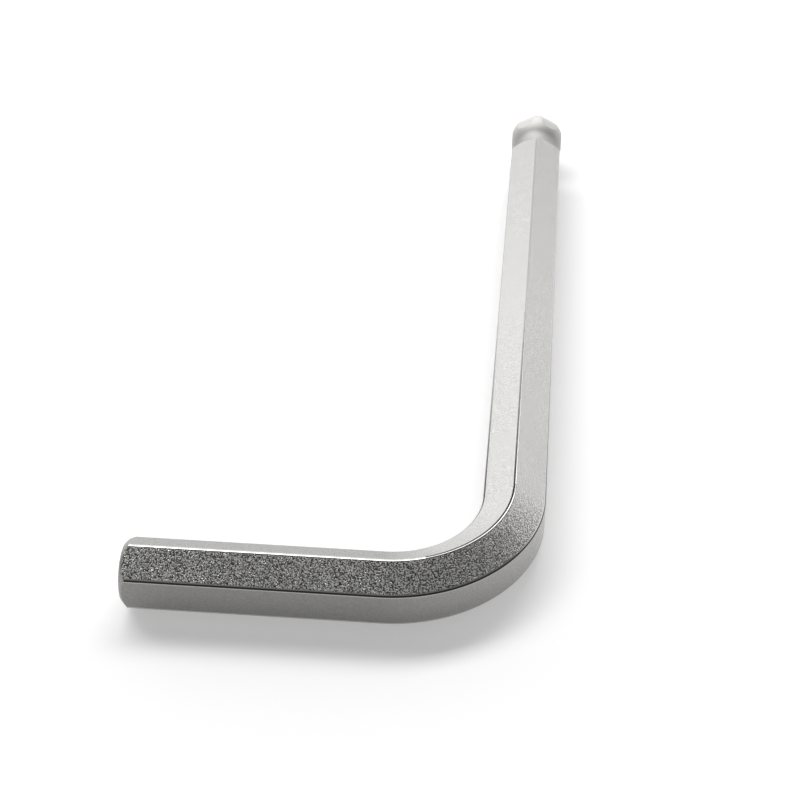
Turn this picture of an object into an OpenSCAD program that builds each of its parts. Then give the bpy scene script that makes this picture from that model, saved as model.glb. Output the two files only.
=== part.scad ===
// L-shaped hex key with a ball end, lying on the lower edges of its two arms.
// The long arm runs along Y, and the short arm leaves its near end towards -X.

/* [Bar] */
// Width of the hexagonal bar across its flats
key_af = 5; // [4:0.25:8]
// Rounding along the six long edges of the bar
edge_r = 0.3; // [0.1:0.05:0.6]

/* [Arms] */
// Short arm, from the outer flat of the long arm to the end face
short_len = 32; // [24:1:80]
// Long arm, from the outer flat of the short arm to the tip of the ball
long_len = 74; // [40:1:200]
// Radius of the bend at the middle of the bar
bend_r = 9.6; // [6:0.2:16]

/* [Short end] */
// How far the edge of the end face lies inside the flats
end_inset = 0.2; // [0.1:0.05:0.8]
// Angle between the turned chamfer and the end face
chamfer_angle = 45; // [30:5:60]

/* [Ball end] */
// How far the six flats of the ball stand proud of the flats of the bar
ball_proud = 0.1; // [0:0.05:0.3]
// How far the turned corners of the ball stand proud of its flats
ball_crown = 0.16; // [0.05:0.01:0.3]
// Diameter of the flat tip of the ball
tip_d = 3.6; // [2:0.2:4.4]
// Depth of the turned neck below the flats of the bar
neck_depth = 0.5; // [0.4:0.05:1.2]
// Radius of the round groove that forms the neck
groove_r = 2; // [1:0.5:8]

/* [Hidden] */
$fn = 96;
flats = 6;
flat_turn = 360 / flats;
edge_steps = 4;

// Half widths of the bar: at a flat, at the centre of an edge's rounding, and at an edge
flat_r = key_af / 2;
edge_centre_r = (flat_r - edge_r) / cos(flat_turn / 2);
corner_r = edge_centre_r + edge_r;

// Turned end face of the short arm, and how far a cutter reaches clear of the bar
end_r = flat_r - end_inset;
clear_r = 2 * corner_r;

// Ball: a turned round form, crossed by the rounds that leave its six flats
ball_flat_r = flat_r + ball_proud;
ball_r = ball_flat_r + ball_crown;
tip_reach = sqrt(ball_r ^ 2 - (tip_d / 2) ^ 2);

// The groove behind the ball is an arc that leaves the ball's own arc without a step
neck_r = flat_r - neck_depth;
groove_centre_r = neck_r + groove_r;
neck_back = sqrt((ball_r + groove_r) ^ 2 - groove_centre_r ^ 2);
blend_r = groove_centre_r * ball_r / (ball_r + groove_r);

// The groove runs out past the edges of the bar, or at its own widest if they lie past it
shoulder_r = min(corner_r + edge_r, groove_centre_r);
shoulder_len = sqrt(groove_r ^ 2 - (groove_centre_r - shoulder_r) ^ 2);
head_back = neck_back + shoulder_len;

// Straight lengths between the bend and the ends
short_run = short_len - flat_r - bend_r;
long_run = long_len - flat_r - bend_r - head_back - tip_reach;

// Where the middle lines of the arms cross, for a box centred on X and Y that stands on Z 0
axis_x = short_len / 2 - flat_r;
axis_y = flat_r - long_len / 2;
axis_z = corner_r;

// Section of the bar, with its edges up and down and flats to the left and right
module bar_section() {
    polygon([
        for (i = [0 : flats - 1], j = [0 : edge_steps])
            let (edge = (i + 0.5) * flat_turn, turn = edge + (j / edge_steps - 0.5) * flat_turn)
            edge_centre_r * [cos(edge), sin(edge)] + edge_r * [cos(turn), sin(turn)]
    ]);
}

// Half outline of the turned head, from its seam with the bar at Y 0 to the tip
module head_profile() {
    translate([0, head_back]) intersection() {
        circle(ball_r);
        translate([0, -ball_r]) square([ball_r, ball_r + tip_reach]);
    }
    difference() {
        union() {
            square([blend_r, head_back]);
            square([shoulder_r, shoulder_len]);
        }
        translate([groove_centre_r, shoulder_len]) circle(groove_r);
    }
}

// The bar up to the neck, and past it the crossed rounds that leave six flats on the ball
module head_flats() {
    linear_extrude(shoulder_len) bar_section();
    translate([0, 0, shoulder_len]) intersection_for (i = [0 : flats / 2 - 1])
        rotate([90, 0, i * flat_turn]) linear_extrude(2 * clear_r, center = true) {
            translate([0, neck_back]) circle(ball_flat_r);
            translate([-ball_flat_r, 0]) square([2 * ball_flat_r, neck_back]);
        }
}

// Ball, neck and shoulder
module ball_head() {
    intersection() {
        rotate_extrude() head_profile();
        head_flats();
    }
}

// Short arm with its chamfered end face at Z 0
module short_arm() {
    intersection() {
        linear_extrude(short_run) bar_section();
        rotate_extrude() polygon([
            [0, 0], [end_r, 0], [clear_r, (clear_r - end_r) * tan(chamfer_angle)],
            [clear_r, short_run + clear_r], [0, short_run + clear_r]
        ]);
    }
}

module hex_key() {
    color("silver") translate([axis_x, axis_y, axis_z]) {
        translate([-bend_r - short_run, 0, 0]) rotate([90, 0, 90]) short_arm();
        translate([-bend_r, bend_r, 0]) rotate_extrude(start = -90, angle = 90)
            translate([bend_r, 0]) bar_section();
        translate([0, bend_r, 0]) rotate([-90, 0, 0]) {
            linear_extrude(long_run) bar_section();
            translate([0, 0, long_run]) ball_head();
        }
    }
}

hex_key();
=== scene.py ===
import math

import bpy
from mathutils import Matrix, Vector


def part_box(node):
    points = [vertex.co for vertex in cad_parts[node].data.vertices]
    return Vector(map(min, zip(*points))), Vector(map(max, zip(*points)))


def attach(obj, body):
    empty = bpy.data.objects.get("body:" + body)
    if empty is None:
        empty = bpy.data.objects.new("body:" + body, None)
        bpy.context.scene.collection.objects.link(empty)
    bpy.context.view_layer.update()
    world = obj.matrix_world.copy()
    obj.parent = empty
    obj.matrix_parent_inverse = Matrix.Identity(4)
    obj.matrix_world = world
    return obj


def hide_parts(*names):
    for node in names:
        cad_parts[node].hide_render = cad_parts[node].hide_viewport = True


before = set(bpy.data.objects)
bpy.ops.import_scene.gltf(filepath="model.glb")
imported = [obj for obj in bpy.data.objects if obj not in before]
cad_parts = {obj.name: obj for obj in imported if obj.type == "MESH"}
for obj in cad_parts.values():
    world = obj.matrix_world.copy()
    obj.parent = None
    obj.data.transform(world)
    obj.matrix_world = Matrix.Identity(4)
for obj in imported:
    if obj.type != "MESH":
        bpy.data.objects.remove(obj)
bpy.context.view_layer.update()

# The key: one length of hexagonal tool steel bar, cut off, turned at both ends, bent cold
# round a former, blasted and plated. It is modelled in millimetres, as the bar is worked:
# the section is drawn, swept along both arms, and cut back at its ends as on a lathe.
mm = 0.001
across_flats = 5.0
edge_round = 0.3
bend_radius = 9.6
bend_steps = 64
end_inset = 0.2
ball_proud = 0.1
ball_crown = 0.16
tip_width = 3.6
neck_depth = 0.5
groove_radius = 2.0
turning_steps = 128
join_distance = 0.0005
half_side_turn = math.pi / 6
flat_half = across_flats / 2
corner_half = (flat_half - edge_round) / math.cos(half_side_turn) + edge_round
key_low, key_high = (Vector(corner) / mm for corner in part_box("hex_key"))
long_axis_x = key_high.x - ball_proud - flat_half
short_axis_y = key_low.y + flat_half
axis_z = (key_low.z + key_high.z) / 2
bend_centre = (long_axis_x - bend_radius, short_axis_y + bend_radius, axis_z)

ball_flat_half = flat_half + ball_proud
ball_radius = ball_flat_half + ball_crown
tip_y = key_high.y
ball_y = tip_y - math.sqrt(ball_radius ** 2 - (tip_width / 2) ** 2)
neck_half = flat_half - neck_depth
groove_centre_half = neck_half + groove_radius
neck_y = ball_y - math.sqrt((ball_radius + groove_radius) ** 2 - groove_centre_half ** 2)


def push(x=0.0, y=0.0, z=0.0):
    """Extrudes what is selected, and leaves its new end selected."""
    bpy.ops.mesh.extrude_region_move(TRANSFORM_OT_translate={"value": (x, y, z)})


def start_point(name, place):
    """A new mesh of one point, left in edit mode, from which an outline is drawn."""
    bpy.ops.object.select_all(action="DESELECT")
    bpy.ops.mesh.primitive_plane_add(size=1, location=place)
    piece = bpy.context.object
    piece.name = name
    bpy.ops.object.mode_set(mode="EDIT")
    bpy.ops.mesh.select_all(action="SELECT")
    bpy.ops.mesh.merge(type="CENTER")
    return piece


def turn_outline(place, axis):
    """Turns the drawn outline once round an axis, and closes it."""
    bpy.ops.mesh.select_all(action="SELECT")
    bpy.ops.mesh.remove_doubles(threshold=join_distance)
    bpy.ops.mesh.spin(steps=turning_steps, angle=math.tau, center=place, axis=axis)
    bpy.ops.mesh.select_all(action="SELECT")
    bpy.ops.mesh.remove_doubles(threshold=join_distance)
    bpy.ops.mesh.normals_make_consistent(inside=False)
    bpy.ops.object.mode_set(mode="OBJECT")


def cut_away(piece, waste):
    """Cuts the turned waste off the piece."""
    bpy.ops.object.select_all(action="DESELECT")
    bpy.context.view_layer.objects.active = piece
    cut = piece.modifiers.new("turning", "BOOLEAN")
    cut.operation = "DIFFERENCE"
    cut.solver = "EXACT"
    cut.object = waste
    bpy.ops.object.modifier_apply(modifier=cut.name)
    bpy.data.objects.remove(waste)


bpy.ops.object.select_all(action="DESELECT")
bpy.ops.mesh.primitive_circle_add(
    vertices=6, radius=flat_half / math.cos(half_side_turn), fill_type="NGON",
    location=(key_low.x, short_axis_y, axis_z), rotation=(math.pi / 2, 0, math.pi / 2))
key = bpy.context.object
key.name = "steel_key"
bpy.ops.object.mode_set(mode="EDIT")
bpy.ops.mesh.select_all(action="SELECT")
bpy.ops.mesh.bevel(
    offset_type="OFFSET", offset=edge_round * math.tan(half_side_turn), segments=6,
    affect="VERTICES")
bpy.ops.mesh.select_all(action="SELECT")
push(x=bend_centre[0] - key_low.x)
bpy.ops.mesh.spin(steps=bend_steps, angle=math.pi / 2, center=bend_centre, axis=(0, 0, -1))
arm_steps = 24
for step in range(arm_steps):
    push(y=(neck_y - bend_centre[1]) / arm_steps)

# From the neck on the section is as wide as the ball's flats, which close in round the tip
push()
widen = ball_flat_half / flat_half
bpy.ops.transform.resize(value=(widen, 1, widen), center_override=(long_axis_x, neck_y, axis_z))
push(y=ball_y - neck_y)
front_steps = 24
front_turn = math.asin((tip_y - ball_y) / ball_flat_half)
for step in range(front_steps):
    before = front_turn * step / front_steps
    after = front_turn * (step + 1) / front_steps
    push(y=ball_flat_half * (math.sin(after) - math.sin(before)))
    narrow = math.cos(after) / math.cos(before)
    here = (long_axis_x, ball_y + ball_flat_half * math.sin(after), axis_z)
    bpy.ops.transform.resize(value=(narrow, 1, narrow), center_override=here)
bpy.ops.mesh.select_all(action="SELECT")
bpy.ops.mesh.normals_make_consistent(inside=False)
bpy.ops.object.mode_set(mode="OBJECT")

# The chamfer of the short end: a turned ring of waste whose inner side is a cone
clear = 2.0
waste_z = axis_z + flat_half - end_inset - clear
waste = start_point("end_waste", (key_low.x - clear, short_axis_y, waste_z))
push(x=3 * clear, z=3 * clear)
push(x=-3 * clear)
push(z=-3 * clear)
turn_outline((key_low.x, short_axis_y, axis_z), (1, 0, 0))
cut_away(key, waste)

# The groove of the neck and the crown of the ball, turned in one pass
arc_steps = 32
groove_centre = (long_axis_x + groove_centre_half, neck_y, axis_z)
ball_centre = (long_axis_x, ball_y, axis_z)
shoulder_half = corner_half + edge_round
run_out = math.acos((groove_centre_half - shoulder_half) / groove_radius)
meet_turn = math.atan2(ball_y - neck_y, groove_centre_half)
tip_turn = math.acos(tip_width / 2 / ball_radius)
shoulder_y = neck_y - groove_radius * math.sin(run_out)
waste = start_point("head_waste", (long_axis_x + shoulder_half, shoulder_y, axis_z))
bpy.ops.mesh.spin(
    steps=arc_steps, angle=run_out + meet_turn, center=groove_centre, axis=(0, 0, 1))
bpy.ops.mesh.spin(steps=arc_steps, angle=meet_turn + tip_turn, center=ball_centre, axis=(0, 0, -1))
push(y=clear)
push(x=shoulder_half - tip_width / 2 + clear)
push(y=shoulder_y - tip_y - clear)
push(x=-clear)
turn_outline(ball_centre, (0, 1, 0))
cut_away(key, waste)

# The key comes off the bench at its real size, in metres, with its place in its mesh
bpy.ops.object.select_all(action="DESELECT")
key.select_set(True)
bpy.context.view_layer.objects.active = key
bpy.ops.object.transform_apply(location=True, rotation=True, scale=True)
bpy.ops.transform.resize(value=(mm, mm, mm), center_override=(0, 0, 0))
bpy.ops.object.transform_apply(location=True, rotation=True, scale=True)
corner_break_width = 0.06
corner_break = key.modifiers.new("broken corners", "BEVEL")
corner_break.width = corner_break_width * mm
corner_break.segments = 3
corner_break.limit_method = "ANGLE"
corner_break.angle_limit = math.radians(24)
bpy.ops.object.modifier_apply(modifier=corner_break.name)
bpy.ops.object.shade_smooth_by_angle(angle=math.radians(35))
flat_faces = key.modifiers.new("flat faces", "WEIGHTED_NORMAL")
flat_faces.keep_sharp = True
bpy.ops.object.modifier_apply(modifier=flat_faces.name)

# The finish: blasted flats between burnished long edges, and a plain turned head, with painted
# light and shade set face by face. Turn is the way that a face looks round the bar, in degrees
# from the outer flat over the top, and round_bend is how far round the bend it lies. The painted
# light and shade and the pitting follow the photo.
flat_turn = 60
flat_slack = 2
upper_outer_flat, upper_inner_flat = flat_turn, 2 * flat_turn
along_slack = 0.05
chamfer_reach = 1.0
# Each face holds its smoothness, its dullness, its painted light and shade, and its pitting.
smoothness = key.data.attributes.new("smoothness", "FLOAT", "FACE")
dullness = key.data.attributes.new("dullness", "FLOAT", "FACE")
painted_light_and_shade = key.data.attributes.new("painted_light_and_shade", "FLOAT", "FACE")
pitting = key.data.attributes.new("pitting", "FLOAT", "FACE")
blasted_dullness, rubbed_dullness, turned_dullness = 0.26, 0.16, 0.68
# Levels of painted light and shade: the ball painted lighter, and painted shade on the chamfer,
# along dark edge lines, over the top edge's glint in the bend, on the outer and upper inner flats,
# and towards the far end.
ball_painted_light, short_end_painted_shade = 1.3, 0.55
dark_edge_turns, dark_edge_painted_shade, dark_edge_length = (10, 40), 0.1, 26
top_edge_start, top_edge_middle, top_edge_from = 62, 86, 20
glint_painted_shade, glint_from = 0.4, 60
outer_flat_painted_shade = (0.5, 0.9)
inner_flat_painted_shade, inner_flat_to = 0.6, 30
far_end_from, far_end_painted_shade = 24, 0.005
pitted_to, faint_pitting, long_arm_pitting = 30, 0.08, 0.1


def way_out(place):
    """The level direction from the inside of the bend to its outside, at a place on the bar."""
    if place.x < bend_centre[0]:
        return Vector((0, -1))
    if place.y > bend_centre[1]:
        return Vector((1, 0))
    return Vector((place.x - bend_centre[0], place.y - bend_centre[1])).normalized()


def fading(value, start, end, before, after):
    """A level that goes from before to after as the value goes from start to end."""
    share = min(1.0, max(0.0, (value - start) / (end - start)))
    return before + (after - before) * share


for face in key.data.polygons:
    place = face.center / mm
    normal = face.normal
    outwards = way_out(place)
    turn = math.degrees(math.atan2(normal.z, outwards.dot(normal.xy)))
    round_bend = math.degrees(math.atan2(outwards.x, -outwards.y))
    flat = flat_turn * round(turn / flat_turn)
    on_flat = abs(turn - flat) < flat_slack
    looks_along = abs(outwards.x * normal.y - outwards.y * normal.x) > along_slack
    off_axis = math.hypot(place.x - long_axis_x, place.z - axis_z)
    turned = place.y > shoulder_y and (
        place.y > neck_y or looks_along or off_axis < flat_half - along_slack)
    # Faces on the edge roundings, which are smoother, and where the painted dark lines and the
    # dimmed glint go.
    on_edge_rounding = not (turned or looks_along or on_flat)
    up_long_arm = max(0.0, place.y - bend_centre[1])
    dark_edge = dark_edge_turns[0] < turn < dark_edge_turns[1]
    top_edge = turn > top_edge_start and round_bend > top_edge_from

    # level is the face's painted light and shade, multiplied into its base colour.
    level = 1.0
    # The ball is painted lighter.
    if turned:
        level = fading(place.y, neck_y, ball_y, 1.0, ball_painted_light)
    # Painted shade on the short end's chamfer.
    elif looks_along and place.x < key_low.x + chamfer_reach:
        level = short_end_painted_shade
    # Painted shade dims the glint on the outer half of the top edge in the bend.
    elif on_edge_rounding and top_edge and turn < top_edge_middle:
        level = fading(round_bend, glint_from, 90, glint_painted_shade, 1.0)
    # Painted dark lines, a painted shade, along the edge under the upper outer flat and the inner
    # half of the top edge, fading up the long arm.
    elif on_edge_rounding and (dark_edge or top_edge):
        level = fading(up_long_arm, 0, dark_edge_length, dark_edge_painted_shade, 1.0)
    # Painted shade on the outer flat, heaviest on the short arm.
    elif on_flat and flat == 0:
        level = fading(round_bend, 0, 90, *outer_flat_painted_shade)
    # Painted shade on the upper inner flat of the short arm.
    elif on_flat and flat == upper_inner_flat:
        level = fading(round_bend, 0, inner_flat_to, inner_flat_painted_shade, 1.0)
    # Painted shade that deepens towards the far end.
    if not turned:
        level *= 1 - far_end_painted_shade * max(0.0, up_long_arm - far_end_from)

    pits = 0.0 if on_edge_rounding or turned else faint_pitting
    if on_flat and flat == upper_outer_flat and not turned:
        pits = fading(round_bend, pitted_to, 90, 1.0, long_arm_pitting)

    dull = turned_dullness if turned else blasted_dullness
    if on_edge_rounding and place.y < bend_centre[1]:
        dull = rubbed_dullness
    smoothness.data[face.index].value = float(on_edge_rounding or turned)
    dullness.data[face.index].value = dull
    painted_light_and_shade.data[face.index].value = level
    pitting.data[face.index].value = pits

# The steel: grey plating over the blasted grain, which shows as fine bumps and as a speckle.
# The helpers add to the node tree at hand, the one that nodes and links were last taken from.
grain_size = 0.112
grain_depth = 0.036
blasted_bumps, smooth_bumps = 1.0, 0.05
speckle_range = (0.42, 0.58)
plating_grey = (0.5, 0.495, 0.485, 1)
pit_grey, peak_grey = (0.1, 0.099, 0.097, 1), (0.97, 0.96, 0.941, 1)
steel = bpy.data.materials.new("satin plated steel")
steel.use_nodes = True
nodes, links = steel.node_tree.nodes, steel.node_tree.links


def feed(socket, source):
    """Links a source to a socket, or sets the socket where the source is a plain value."""
    if isinstance(source, bpy.types.NodeSocket):
        links.new(source, socket)
    else:
        socket.default_value = source


def mapped(source, source_range, target_range=(0, 1)):
    """A value brought from one range into another."""
    change = nodes.new("ShaderNodeMapRange")
    feed(change.inputs["Value"], source)
    feed(change.inputs["From Min"], source_range[0])
    feed(change.inputs["From Max"], source_range[1])
    feed(change.inputs["To Min"], target_range[0])
    feed(change.inputs["To Max"], target_range[1])
    return change.outputs["Result"]


def mixed(factor, low, high, blend_type="MIX"):
    """Two colours mixed. Sockets 6 and 7 of the node hold them, and socket 2 gives the mix."""
    mix = nodes.new("ShaderNodeMix")
    mix.data_type = "RGBA"
    mix.blend_type = blend_type
    feed(mix.inputs["Factor"], factor)
    feed(mix.inputs[6], low)
    feed(mix.inputs[7], high)
    return mix.outputs[2]


def face_value(name):
    """What each face of the key holds under a name."""
    reader = nodes.new("ShaderNodeAttribute")
    reader.attribute_name = name
    return reader.outputs["Fac"]


shader = nodes["Principled BSDF"]
texture_place = nodes.new("ShaderNodeTexCoord")
grain = nodes.new("ShaderNodeTexNoise")
feed(grain.inputs["Scale"], 1 / (grain_size * mm))
feed(grain.inputs["Detail"], 1)
feed(grain.inputs["Vector"], texture_place.outputs["Object"])
speckle = mixed(mapped(grain.outputs["Fac"], speckle_range), pit_grey, peak_grey)
blasted = mixed(face_value("pitting"), plating_grey, speckle)
bumps = nodes.new("ShaderNodeBump")
feed(bumps.inputs["Distance"], grain_depth * mm)
bump_range = (blasted_bumps, smooth_bumps)
feed(bumps.inputs["Strength"], mapped(face_value("smoothness"), (0, 1), bump_range))
feed(bumps.inputs["Height"], grain.outputs["Fac"])
feed(shader.inputs["Metallic"], 1.0)
# The base colour is multiplied by each face's painted light and shade.
feed(shader.inputs["Base Color"], mixed(1.0, blasted, face_value("painted_light_and_shade"), "MULTIPLY"))
feed(shader.inputs["Roughness"], face_value("dullness"))
feed(shader.inputs["Normal"], bumps.outputs["Normal"])
key.data.materials.clear()
key.data.materials.append(steel)
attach(key, "root")
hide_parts("hex_key")

# The floor: a wide pale sheet that the key lies on, sized in metres. It looks white to the
# camera and in the metal, and it keeps the key's shadow.
floor_width = 6.0
floor_grey = (0.8, 0.8, 0.8, 1)
floor_dullness = 0.9
floor_lift = 0.3
bpy.ops.object.select_all(action="DESELECT")
bpy.ops.mesh.primitive_plane_add(size=floor_width, location=(0, 0, 0))
floor = bpy.context.object
floor.name = "floor"
sheet = bpy.data.materials.new("pale floor")
sheet.use_nodes = True
nodes, links = sheet.node_tree.nodes, sheet.node_tree.links


def worked_out(operation, first, second):
    """Two values added, or multiplied."""
    working = nodes.new("ShaderNodeMath")
    working.operation = operation
    feed(working.inputs[0], first)
    feed(working.inputs[1], second)
    return working.outputs["Value"]


path = nodes.new("ShaderNodeLightPath")
seen = worked_out("ADD", path.outputs["Is Camera Ray"], path.outputs["Is Glossy Ray"])
seen = worked_out("ADD", seen, path.outputs["Is Transmission Ray"])
paper = nodes["Principled BSDF"]
feed(paper.inputs["Base Color"], floor_grey)
feed(paper.inputs["Roughness"], floor_dullness)
feed(paper.inputs["Specular IOR Level"], 0.0)
feed(paper.inputs["Emission Color"], (1, 1, 1, 1))
feed(paper.inputs["Emission Strength"], worked_out("MULTIPLY", seen, floor_lift))
floor.data.materials.append(sheet)

# The studio: the world that the metal mirrors. It is bright round the horizon behind the key,
# and dim overhead and in front of it.
world = bpy.data.worlds.new("studio")
bpy.context.scene.world = world
world.use_nodes = True
nodes, links = world.node_tree.nodes, world.node_tree.links


def level_ramp(source, stops):
    """A grey that follows the source through the given stops, and not a ramp's own two stops."""
    ramp = nodes.new("ShaderNodeValToRGB")
    ramp.color_ramp.interpolation = "EASE"
    for position, level in stops:
        stop = ramp.color_ramp.elements.new(position)
        stop.color = (level, level, level, 1)
    ramp.color_ramp.elements.remove(ramp.color_ramp.elements[0])
    ramp.color_ramp.elements.remove(ramp.color_ramp.elements[-1])
    feed(ramp.inputs["Fac"], source)
    return ramp.outputs["Color"]


view_way = nodes.new("ShaderNodeTexCoord")
way = nodes.new("ShaderNodeSeparateXYZ")
feed(way.inputs["Vector"], view_way.outputs["Generated"])
rightness, backness = (mapped(way.outputs[axis], (-1, 1)) for axis in "XY")
behind = level_ramp(way.outputs["Z"], (
    (0.02, 1.7), (0.36, 1.7), (0.47, 1.2), (0.57, 0.6), (0.66, 0.29), (0.8, 0.26), (0.99, 0.26)))
in_front = level_ramp(way.outputs["Z"], ((0.3, 0.3), (0.9, 0.26)))
front_to_back = level_ramp(backness, ((0.5, 0.0), (0.75, 1.0)))
left_to_right = level_ramp(rightness, ((0.02, 0.4), (0.22, 1.02), (0.74, 0.79)))
all_round = mixed(front_to_back, in_front, behind)
feed(nodes["Background"].inputs["Color"], mixed(1.0, all_round, left_to_right, "MULTIPLY"))

# The strip lamp: it hangs high behind the key and to its left, placed and sized in metres, and
# the upper edge of the short arm mirrors it.
lamp_place = Vector((-0.15, 0.4, 0.69))
lamp_length, lamp_width = 1.0, 0.28
lamp_power = 5.8
bpy.ops.object.light_add(
    type="AREA", location=lamp_place, rotation=lamp_place.to_track_quat("Z", "Y").to_euler())
lamp = bpy.context.object
lamp.name = "strip_lamp"
lamp.data.shape = "RECTANGLE"
lamp.data.size = lamp_length
lamp.data.size_y = lamp_width
lamp.data.energy = lamp_power

# The camera looks down on the bend from in front of the short arm. It is placed from the
# outer corner of the bend.
corner = Vector((long_axis_x, short_axis_y, axis_z))
camera_place = (corner + Vector((0.972, -95.129, 92.321))) * mm
camera_aim = (corner + Vector((-10.42, 23.239, 0))) * mm
camera_roll = math.radians(-0.372)
camera_sensor, camera_lens = 36, 78.22
bpy.ops.object.camera_add(location=camera_place)
camera = bpy.context.object
facing = (camera_place - camera_aim).to_track_quat("Z", "Y")
camera.rotation_mode = "QUATERNION"
camera.rotation_quaternion = facing @ Matrix.Rotation(camera_roll, 3, "Z").to_quaternion()
camera.data.sensor_width = camera_sensor
camera.data.lens = camera_lens
camera.data.clip_start = 0.001
bpy.context.scene.camera = camera

bpy.context.scene.view_settings.view_transform = "Standard"
